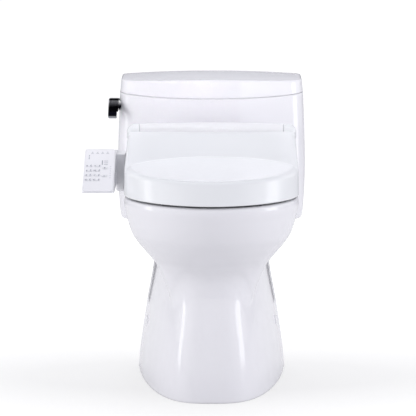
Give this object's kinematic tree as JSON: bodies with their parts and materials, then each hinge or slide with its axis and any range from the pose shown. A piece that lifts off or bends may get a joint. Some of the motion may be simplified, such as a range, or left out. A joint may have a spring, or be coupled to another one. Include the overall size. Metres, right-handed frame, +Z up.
{
  "type": "bidet toilet",
  "caption": "Low one-piece skirted toilet with an electronic bidet seat, side control arm, side flush lever and lift-off tank lid",
  "frame": {"origin": "centre of the waste outlet in the plane of the floor", "axes": "+Z up; -Y the way the user faces; +Y to the wall; +X to the left hand of the seated user"},
  "size_m": [0.4889, 0.717, 0.656],
  "materials": {
    "china": "glossy white glaze",
    "seat_plastic": "glossy cool white",
    "unit_plastic": "satin cool white",
    "inner_plastic": "moulded, matte",
    "soft_rubber": "matte",
    "lever_chrome": "polished plate",
    "steel": "brushed",
    "brass_fitting": "machined",
    "filter_media": "carbon foam",
    "board": "circuit board",
    "panel_film": "satin printed film",
    "lamp": "clear lens",
    "key_plastic": "satin"
  },
  "bodies": {
    "toilet": {"china_bowl": "china", "china_well": "china", "china_tank": "china", "floor_brackets": "inner_plastic", "floor_screws": "steel", "side_screws": "steel", "side_caps": "unit_plastic", "fill_valve_body": "inner_plastic", "fill_valve_cap": "inner_plastic", "fill_valve_locknut": "inner_plastic", "refill_tube": "soft_rubber", "flush_valve": "inner_plastic", "lever_escutcheon": "lever_chrome", "lever_nut": "inner_plastic", "mounting_plate": "inner_plastic", "mounting_bolts": "steel", "bolt_sleeves": "soft_rubber"},
    "tank_lid": {"tank_lid": "china"},
    "flush_lever": {"lever_handle": "lever_chrome", "lever_arm": "steel"},
    "flush_flapper": {"flapper": "soft_rubber"},
    "flush_chain": {"lift_chain": "steel"},
    "fill_float": {"float_cup": "inner_plastic"},
    "bidet_unit": {"unit_base": "unit_plastic", "unit_cover": "unit_plastic", "arm_housing": "unit_plastic", "panel_plate": "panel_film", "panel_board": "board", "key_mat": "soft_rubber", "indicator_lamps": "lamp", "water_heater": "inner_plastic", "water_pump": "inner_plastic", "circuit_board": "board", "deodorising_fan": "inner_plastic", "nozzle_guide": "inner_plastic", "water_inlet": "brass_fitting", "cord_gland": "inner_plastic", "lid_dampers": "steel", "seat_pins": "steel"},
    "unit_release": {"release_button": "unit_plastic"},
    "seat": {"seat_base": "seat_plastic", "seat_top": "seat_plastic", "seat_bumpers": "soft_rubber"},
    "lid": {"lid_shell": "seat_plastic", "lid_bumpers": "soft_rubber"},
    "nozzle": {"nozzle_wand": "steel", "nozzle_head": "steel"},
    "filter": {"filter_drawer": "unit_plastic", "filter_block": "filter_media"},
    "strainer": {"strainer_knob": "unit_plastic"},
    "key_1_body": {"key_1": "key_plastic"},
    "key_2_body": {"key_2": "key_plastic"},
    "key_3_body": {"key_3": "key_plastic"},
    "key_4_body": {"key_4": "key_plastic"},
    "key_5_body": {"key_5": "key_plastic"},
    "key_6_body": {"key_6": "key_plastic"},
    "key_7_body": {"key_7": "key_plastic"},
    "key_8_body": {"key_8": "key_plastic"},
    "key_9_body": {"key_9": "key_plastic"},
    "key_10_body": {"key_10": "key_plastic"}
  },
  "joints": [
    {"name": "tank_lid_lift", "type": "slide", "parent": "toilet", "child": "tank_lid", "axis": [0, 0, 1], "range_m": [0, 0.08]},
    {"name": "flush_lever_turn", "type": "hinge", "parent": "toilet", "child": "flush_lever", "pos_m": [-0.2115, 0.16, 0.59], "axis": [1, 0, 0], "range_deg": [0, 22], "stiffness_Nm_per_rad": 0.35},
    {"name": "flapper_turn", "type": "hinge", "parent": "toilet", "child": "flush_flapper", "pos_m": [0, 0.152, 0.386], "axis": [1, 0, 0], "range_deg": [0, 18.7]},
    {"name": "chain_pull", "type": "slide", "parent": "toilet", "child": "flush_chain", "axis": [0, 0, 1], "range_m": [0, 0.0283]},
    {"name": "float_rise", "type": "slide", "parent": "toilet", "child": "fill_float", "axis": [0, 0, 1], "range_m": [0, 0.06]},
    {"name": "unit_slide", "type": "slide", "parent": "toilet", "child": "bidet_unit", "axis": [0, -1, 0], "range_m": [0, 0.07]},
    {"name": "release_press", "type": "slide", "parent": "bidet_unit", "child": "unit_release", "axis": [-1, 0, 0], "range_m": [0, 0.0016], "stiffness_N_per_m": 900},
    {"name": "seat_hinge", "type": "hinge", "parent": "bidet_unit", "child": "seat", "pos_m": [0, -0.032, 0.462], "axis": [-1, 0, 0], "range_deg": [0, 95]},
    {"name": "lid_hinge", "type": "hinge", "parent": "bidet_unit", "child": "lid", "pos_m": [0, 0.02, 0.537], "axis": [-1, 0, 0], "range_deg": [0, 104]},
    {"name": "nozzle_extend", "type": "slide", "parent": "bidet_unit", "child": "nozzle", "axis": [0, -0.9511, -0.309], "range_m": [0, 0.085]},
    {"name": "filter_pull", "type": "slide", "parent": "bidet_unit", "child": "filter", "axis": [1, 0, 0], "range_m": [0, 0.045]},
    {"name": "strainer_turn", "type": "hinge", "parent": "bidet_unit", "child": "strainer", "pos_m": [-0.2, 0.08, 0.462], "axis": [0, 1, 0], "range_deg": [0, 90]},
    {"name": "key_1_press", "type": "slide", "parent": "bidet_unit", "child": "key_1_body", "axis": [0, 0.3827, -0.9239], "range_m": [0, 0.0008], "stiffness_N_per_m": 600},
    {"name": "key_2_press", "type": "slide", "parent": "bidet_unit", "child": "key_2_body", "axis": [0, 0.3827, -0.9239], "range_m": [0, 0.0008], "stiffness_N_per_m": 600},
    {"name": "key_3_press", "type": "slide", "parent": "bidet_unit", "child": "key_3_body", "axis": [0, 0.3827, -0.9239], "range_m": [0, 0.0008], "stiffness_N_per_m": 600},
    {"name": "key_4_press", "type": "slide", "parent": "bidet_unit", "child": "key_4_body", "axis": [0, 0.3827, -0.9239], "range_m": [0, 0.0008], "stiffness_N_per_m": 600},
    {"name": "key_5_press", "type": "slide", "parent": "bidet_unit", "child": "key_5_body", "axis": [0, 0.3827, -0.9239], "range_m": [0, 0.0008], "stiffness_N_per_m": 600},
    {"name": "key_6_press", "type": "slide", "parent": "bidet_unit", "child": "key_6_body", "axis": [0, 0.3827, -0.9239], "range_m": [0, 0.0008], "stiffness_N_per_m": 600},
    {"name": "key_7_press", "type": "slide", "parent": "bidet_unit", "child": "key_7_body", "axis": [0, 0.3827, -0.9239], "range_m": [0, 0.0008], "stiffness_N_per_m": 600},
    {"name": "key_8_press", "type": "slide", "parent": "bidet_unit", "child": "key_8_body", "axis": [0, 0.3827, -0.9239], "range_m": [0, 0.0008], "stiffness_N_per_m": 600},
    {"name": "key_9_press", "type": "slide", "parent": "bidet_unit", "child": "key_9_body", "axis": [0, 0.3827, -0.9239], "range_m": [0, 0.0008], "stiffness_N_per_m": 600},
    {"name": "key_10_press", "type": "slide", "parent": "bidet_unit", "child": "key_10_body", "axis": [0, 0.3827, -0.9239], "range_m": [0, 0.0008], "stiffness_N_per_m": 600}
  ],
  "couplings": [
    {"joint": "lid_hinge", "follows": "seat_hinge", "ratio": 1.0947},
    {"joint": "flapper_turn", "follows": "flush_lever_turn", "ratio": 0.85},
    {"joint": "chain_pull", "follows": "flush_lever_turn", "m_per_rad": 0.0735}
  ]
}
